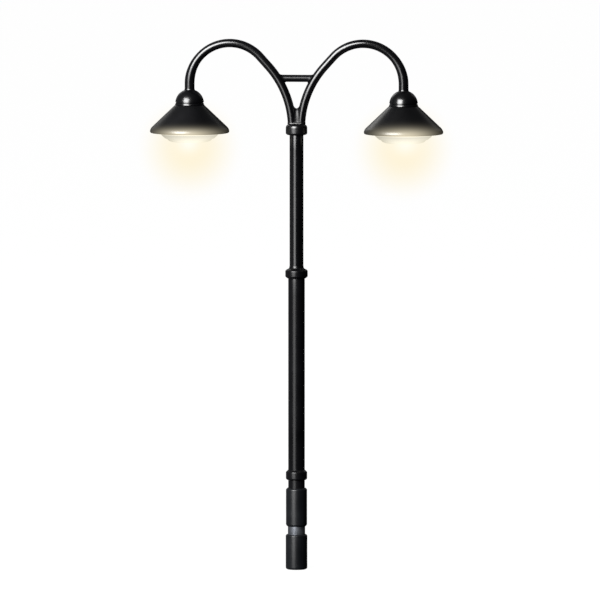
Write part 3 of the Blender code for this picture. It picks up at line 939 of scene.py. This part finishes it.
for side, sign in (("right", 1.0), ("left", -1.0)):
    x = LAMP_X * sign
    place(lathe(f"cap_{side}", cap_profile(), CAP, x, 128), "black_lacquer", f"{side}_lamp_cap")
    place(lathe(f"shade_{side}", shade_profile(), SHADE, x, 160), "black_lacquer", f"{side}_shade")
    place(
        lathe(
            f"lining_{side}",
            fillet(
                [
                    (shade_inside(51.27) - 0.27, 51.27, 0.05),
                    (shade_inside(51.27) - 0.05, 51.27, 0.05),
                    (shade_inside(49.27) - 0.05, 49.27, 0.05),
                    (shade_inside(49.27) - 0.27, 49.27, 0.05),
                ],
                seg=4,
            ),
            LINING,
            x,
            128,
        ),
        "white_plastic",
        f"{side}_reflector",
    )
    dish = place(lathe(f"dish_{side}", dish_profile(), DISH, x, 128, closed=False), "frosted_plastic", f"{side}_diffuser")
    dish.pass_index = 7

    # LED: a white frame round a window of phosphor, with two tinned ends
    top = BOARD_Z0 - GAP
    bm = bmesh.new()
    w, d, h = 3.0, 1.4, 0.8
    for cx, cy, sx, sy in (
        (0, -(d / 2 - 0.11), w, 0.22),
        (0, d / 2 - 0.11, w, 0.22),
        (-(w / 2 - 0.15), 0, 0.30, d - 0.42),
        (w / 2 - 0.15, 0, 0.30, d - 0.42),
    ):
        rounded_box(bm, (x + cx, cy, top - h / 2), (sx, sy, h), 0.04)
    rounded_box(bm, (x, 0, top - 0.2), (w - 0.5, d - 0.36, 0.38), 0.0)
    for s in (-1, 1):
        rounded_box(bm, (x + s * (w / 2 - 0.16), 0, top - 0.13), (0.30, d - 0.5, 0.24), 0.03, 1)
    place(finish_mesh(f"led_frame_{side}", bm, [LED_BODY, TIN]), "led_phosphor", f"{side}_led")
    bm = bmesh.new()
    rounded_box(bm, (x, 0, top - 0.58), (w - 0.62, d - 0.46, 0.36), 0.10)
    window = finish_mesh(f"led_window_{side}", bm, PHOSPHOR)
    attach(window, BODY)

    # resistor: a dark body between wrapped tin ends
    bm = bmesh.new()
    rounded_box(bm, (x, 1.5, top - 0.225), (1.1, 0.76, 0.43), 0.05)
    for s in (-1, 1):
        rounded_box(bm, (x + s * 0.66, 1.5, top - 0.225), (0.28, 0.80, 0.45), 0.05, 1)
    place(finish_mesh(f"resistor_{side}_body", bm, [CERAMIC, TIN]), "resistor_body", f"{side}_resistor")

    # board: a disc with a broken edge
    place(
        lathe(
            f"board_{side}",
            fillet(
                [(0.0, BOARD_Z1), (BOARD_R, BOARD_Z1, 0.05), (BOARD_R, BOARD_Z0, 0.05), (0.0, BOARD_Z0)],
                closed=False,
                seg=4,
            ),
            BOARD,
            x,
            96,
            closed=False,
        ),
        "board",
        f"{side}_led_board",
    )

# ------------------------------------------------------------------ plug
place(
    lathe(
        "plug_sleeve_upper",
        fillet(
            [
                (LOWER_R + 0.004, -1.15, 0.0),
                (1.29, -1.15, 0.05),
                (1.48, -1.34, 0.16),
                (1.48, -6.30, 0.16),
                (1.32, -6.52, 0.08),
                (RING_R + 0.004, -6.52),
                (RING_R + 0.004, -5.55),
                (RING_BORE, -5.55),
                (RING_BORE, -5.05),
                (LOWER_R + 0.004, -5.05),
            ],
            seg=6,
        ),
        PLUG,
    ),
    "black_plastic",
    "upper_plug_sleeve",
)
place(
    lathe(
        "ring_of_contact",
        fillet(
            [
                (RING_BORE, -5.60, 0.03),
                (RING_R, -5.60, 0.05),
                (RING_R, -8.70, 0.05),
                (RING_BORE, -8.70, 0.03),
            ],
            seg=4,
        ),
        NICKEL,
    ),
    "nickel",
    "contact_ring",
)
place(
    lathe(
        "plug_sleeve_lower",
        fillet(
            [
                (RING_R + 0.004, -7.68, 0.0),
                (1.36, -7.68, 0.06),
                (1.515, -7.84, 0.14),
                (1.515, PLUG_Z, 0.30),
                (0.80, PLUG_Z, 0.05),
                (0.80, -12.08),
                (0.43, -12.08),
                (0.43, -11.58),
                (RING_BORE, -11.58),
                (RING_BORE, -8.75),
                (RING_R + 0.004, -8.75),
            ],
            seg=7,
        ),
        PLUG,
    ),
    "black_plastic",
    "lower_plug_sleeve",
)
place(
    lathe(
        "tip_pin",
        fillet(
            [
                (0.00, -5.20),
                (0.40, -5.20, 0.08),
                (0.40, -12.12),
                (0.77, -12.12, 0.03),
                (0.77, -12.47, 0.07),
                (0.14, -12.47, 0.04),
                (0.10, -12.40, 0.03),
                (0.00, -12.38),
            ],
            closed=False,
            seg=4,
        ),
        BRASS,
        closed=False,
    ),
    "brass",
    "tip_contact",
)
place(
    lathe(
        "core_bush",
        fillet([(0.43, -5.65, 0.03), (0.94, -5.65, 0.05), (0.94, -11.55, 0.05), (0.43, -11.55, 0.03)], seg=4),
        NYLON,
    ),
    "natural_nylon",
    "plug_core",
)

# ------------------------------------------------------------------ CAD nodes that keep their shape
for side in ("right", "left"):
    for pole, mat in (("positive", WIRE_RED), ("negative", WIRE_GREEN)):
        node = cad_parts[f"{side}_lead_{pole}"]
        for s in node.material_slots:
            s.material = mat

# ------------------------------------------------------------------ stage: floor
FLOOR_Z = PLUG_Z - 0.03
mesh = bpy.data.meshes.new("floor")
bm = bmesh.new()
bmesh.ops.create_circle(bm, cap_ends=True, segments=96, radius=12.0)
bm.to_mesh(mesh)
bm.free()
floor = bpy.data.objects.new("floor", mesh)
floor.location.z = FLOOR_Z * MM
SCENE.collection.objects.link(floor)
mat, nodes, links, bsdf = new_material("pale_floor")
bsdf.inputs["Base Color"].default_value = (0.05, 0.05, 0.05, 1)
bsdf.inputs["Roughness"].default_value = 1.0
bsdf.inputs["Specular IOR Level"].default_value = 0.0
bsdf.inputs["Emission Color"].default_value = (1, 1, 1, 1)
bsdf.inputs["Emission Strength"].default_value = 0.985
mesh.materials.append(mat)
floor.visible_glossy = False
floor.visible_diffuse = False
floor.visible_shadow = False

# ------------------------------------------------------------------ stage: the painted warm glow round each lit dish
HALO_R, HALO_Z = 7.9, 46.5


def painted_halo_material(name, shift, wide, clear):
    """Painted glow round a lit dish: it takes a little blue out of what is behind it, but hardly any in the painted
    white-hot spot just under the dish, which glows."""
    mat = bpy.data.materials.new(name)
    mat.use_nodes = True
    nodes, links = mat.node_tree.nodes, mat.node_tree.links
    nodes.clear()
    out = nodes.new("ShaderNodeOutputMaterial")
    tex = nodes.new("ShaderNodeTexCoord")
    mul = nodes.new("ShaderNodeVectorMath")
    mul.operation = "SCALE"
    mul.inputs["Scale"].default_value = 1000.0
    links.new(tex.outputs["Object"], mul.inputs[0])
    unit = nodes.new("ShaderNodeVectorMath")
    unit.operation = "SCALE"
    unit.inputs["Scale"].default_value = 1.0 / HALO_R
    links.new(mul.outputs[0], unit.inputs[0])
    dot = nodes.new("ShaderNodeVectorMath")
    dot.operation = "DOT_PRODUCT"
    links.new(unit.outputs[0], dot.inputs[0])
    links.new(unit.outputs[0], dot.inputs[1])
    inner = math_node(nodes, links, "MAXIMUM", math_node(nodes, links, "SUBTRACT", 1.0, dot.outputs["Value"]), 0.0)
    shape = math_node(nodes, links, "POWER", inner, 1.7)
    absorb = nodes.new("ShaderNodeVolumeAbsorption")
    absorb.inputs["Color"].default_value = (0.99, 0.73, 0.0, 1)
    # painted hot spot: a glowing ellipsoid that fades outwards
    sep = nodes.new("ShaderNodeSeparateXYZ")
    links.new(mul.outputs[0], sep.inputs[0])
    plan = math_node(nodes, links, "MULTIPLY", bell(nodes, links, sep.outputs[0], shift, wide), bell(nodes, links, sep.outputs[1], 0.0, 4.5))
    spot = math_node(nodes, links, "MULTIPLY", plan, bell(nodes, links, sep.outputs[2], 47.3 - HALO_Z, 1.55))
    left = math_node(nodes, links, "SUBTRACT", 1.0, math_node(nodes, links, "MULTIPLY", spot, clear))
    links.new(math_node(nodes, links, "MULTIPLY", math_node(nodes, links, "MULTIPLY", shape, left), 45.5), absorb.inputs["Density"])
    hot = nodes.new("ShaderNodeEmission")
    hot.inputs["Color"].default_value = (1.0, 0.88, 0.75, 1)
    links.new(math_node(nodes, links, "MULTIPLY", spot, 6.0), hot.inputs["Strength"])
    both = nodes.new("ShaderNodeAddShader")
    links.new(absorb.outputs[0], both.inputs[0])
    links.new(hot.outputs[0], both.inputs[1])
    links.new(both.outputs[0], out.inputs["Volume"])
    return mat


def bloom_material(name, width, shift, spread):
    """Painted glow on a clear skin round the outside of the shade: adds light, strongest at the rim, and hides
    nothing.
    """
    mat = bpy.data.materials.new(name)
    mat.use_nodes = True
    nodes, links = mat.node_tree.nodes, mat.node_tree.links
    nodes.clear()
    out = nodes.new("ShaderNodeOutputMaterial")
    vec = coords(nodes, links)
    side, y, z = lamp_coords(nodes, links, vec)
    front = painted_front_weight(nodes, links, side, y, 0.08)
    level = math_node(nodes, links, "MULTIPLY", bell(nodes, links, z, 48.86, width), bell(nodes, links, side, shift, spread))
    glow = nodes.new("ShaderNodeEmission")
    glow.inputs["Color"].default_value = (1.0, 0.90, 0.67, 1)
    links.new(math_node(nodes, links, "MULTIPLY", math_node(nodes, links, "MULTIPLY", front, level), 0.70), glow.inputs["Strength"])
    clear = nodes.new("ShaderNodeBsdfTransparent")
    both = nodes.new("ShaderNodeAddShader")
    links.new(clear.outputs[0], both.inputs[0])
    links.new(glow.outputs[0], both.inputs[1])
    links.new(both.outputs[0], out.inputs["Surface"])
    return mat


def to_stage(obj):
    obj.visible_glossy = False
    obj.visible_diffuse = False
    obj.visible_transmission = False
    obj.visible_shadow = False


for side, sign in (("right", 1.0), ("left", -1.0)):
    bm = bmesh.new()
    bmesh.ops.create_icosphere(bm, subdivisions=5, radius=HALO_R * MM)
    mesh = bpy.data.meshes.new(f"haze_{side}")
    bm.to_mesh(mesh)
    bm.free()
    painted_halo = bpy.data.objects.new(f"haze_{side}", mesh)
    painted_halo.location = (LAMP_X * sign * MM, 0, HALO_Z * MM)
    mesh.materials.append(painted_halo_material(f"haze_{side}", *((0.25, 1.8, 0.88) if sign > 0 else (-0.15, 1.6, 0.97))))
    SCENE.collection.objects.link(painted_halo)
    to_stage(painted_halo)
    skin = [
        (SHADE_TOP_R + 0.30 + 0.03, SHADE_TOP_Z - 0.28 + 0.03),
        (SHADE_RIM_R + 0.06, SHADE_RIM_Z + 0.02),
        (SHADE_RIM_R + 0.15, SHADE_RIM_Z - 0.30),
        (SHADE_RIM_R + 0.12, SHADE_BOTTOM_Z + 0.06),
        (SHADE_RIM_R - 0.02, SHADE_BOTTOM_Z - 0.03),
    ]
    bm = bmesh.new()
    add_lathe(bm, skin, LAMP_X * sign, 128, False)
    to_stage(finish_mesh(f"bloom_{side}", bm, bloom_material(f"bloom_{side}", *((0.82, 0.9, 4.6) if sign > 0 else (0.67, 0.0, 5.0)))))

# ------------------------------------------------------------------ world and lights
world = bpy.data.worlds.new("studio")
SCENE.world = world
world.use_nodes = True
nodes, links = world.node_tree.nodes, world.node_tree.links
nodes.clear()
out = nodes.new("ShaderNodeOutputWorld")
seen = nodes.new("ShaderNodeBackground")
seen.inputs["Color"].default_value = (1, 1, 1, 1)
seen.inputs["Strength"].default_value = 1.0
room = nodes.new("ShaderNodeBackground")
tex = nodes.new("ShaderNodeTexCoord")
sep = nodes.new("ShaderNodeSeparateXYZ")
links.new(tex.outputs["Generated"], sep.inputs[0])
# the studio is paler to the left and overhead than to the right
side_light = ramp(nodes, links, sep.outputs["X"], -0.95, 0.15, 0.19, 0.012)
over = ramp(nodes, links, sep.outputs["Z"], 0.3, 1.0, 0.0, 0.075)
total = math_node(nodes, links, "ADD", side_light, over)
links.new(total, room.inputs["Strength"])
room.inputs["Color"].default_value = (0.95, 0.97, 1.0, 1)
path = nodes.new("ShaderNodeLightPath")
plain = math_node(nodes, links, "MAXIMUM", path.outputs["Is Camera Ray"], path.outputs["Is Transmission Ray"])
mix = nodes.new("ShaderNodeMixShader")
links.new(plain, mix.inputs[0])
links.new(room.outputs[0], mix.inputs[1])
links.new(seen.outputs[0], mix.inputs[2])
links.new(mix.outputs[0], out.inputs["Surface"])


def softbox(name, azimuth, elevation, distance, size, strength, aim=(0, 0, 0.032), color=(1, 1, 1)):
    """An area light. Azimuth 0 is in front (-Y), positive towards +X. Strength is its radiance."""
    a, e = math.radians(azimuth), math.radians(elevation)
    d = Vector((math.sin(a) * math.cos(e), -math.cos(a) * math.cos(e), math.sin(e)))
    data = bpy.data.lights.new(name, "AREA")
    data.shape = "RECTANGLE"
    data.size, data.size_y = size
    data.energy = strength * math.pi * size[0] * size[1]
    data.color = color
    lamp = bpy.data.objects.new(name, data)
    lamp.location = Vector(aim) + d * distance
    lamp.rotation_euler = d.to_track_quat("Z", "Y").to_euler()
    lamp.visible_camera = False
    SCENE.collection.objects.link(lamp)
    return lamp


softbox("key", -26.5, 28, 0.50, (0.33, 0.28), 26.0)
softbox("key_foot", -26.5, 7, 0.50, (0.29, 0.09), 9.5)
softbox("table_glow", -26.5, -7, 0.50, (0.26, 0.165), 4.4)
left_back = softbox("left_back", -149, 26, 0.13, (0.04, 0.045), 0.13, aim=(0.012, 0, 0.051))
left_back.data.spread = math.radians(60)
softbox("left_rim", -149, 20, 0.50, (0.20, 0.20), 0.28)
softbox("right_back", 149, 26, 0.45, (0.13, 0.16), 0.30)

# ------------------------------------------------------------------ camera
AZ, EL, DIST = math.radians(5.0), math.radians(5.0), 1.5
target = Vector((0.00049, 0.0, 0.0253))
back = Vector((math.sin(AZ) * math.cos(EL), -math.cos(AZ) * math.cos(EL), math.sin(EL)))
cam = bpy.data.cameras.new("camera")
cam.sensor_width = 36.0
cam.lens = 36.0 * DIST / 0.084
cam.clip_start, cam.clip_end = 0.01, 50.0
camera = bpy.data.objects.new("camera", cam)
camera.location = target + back * DIST
camera.rotation_euler = back.to_track_quat("Z", "Y").to_euler()
SCENE.collection.objects.link(camera)
SCENE.camera = camera
SCENE.view_settings.view_transform = "Standard"
SCENE.view_settings.look = "None"
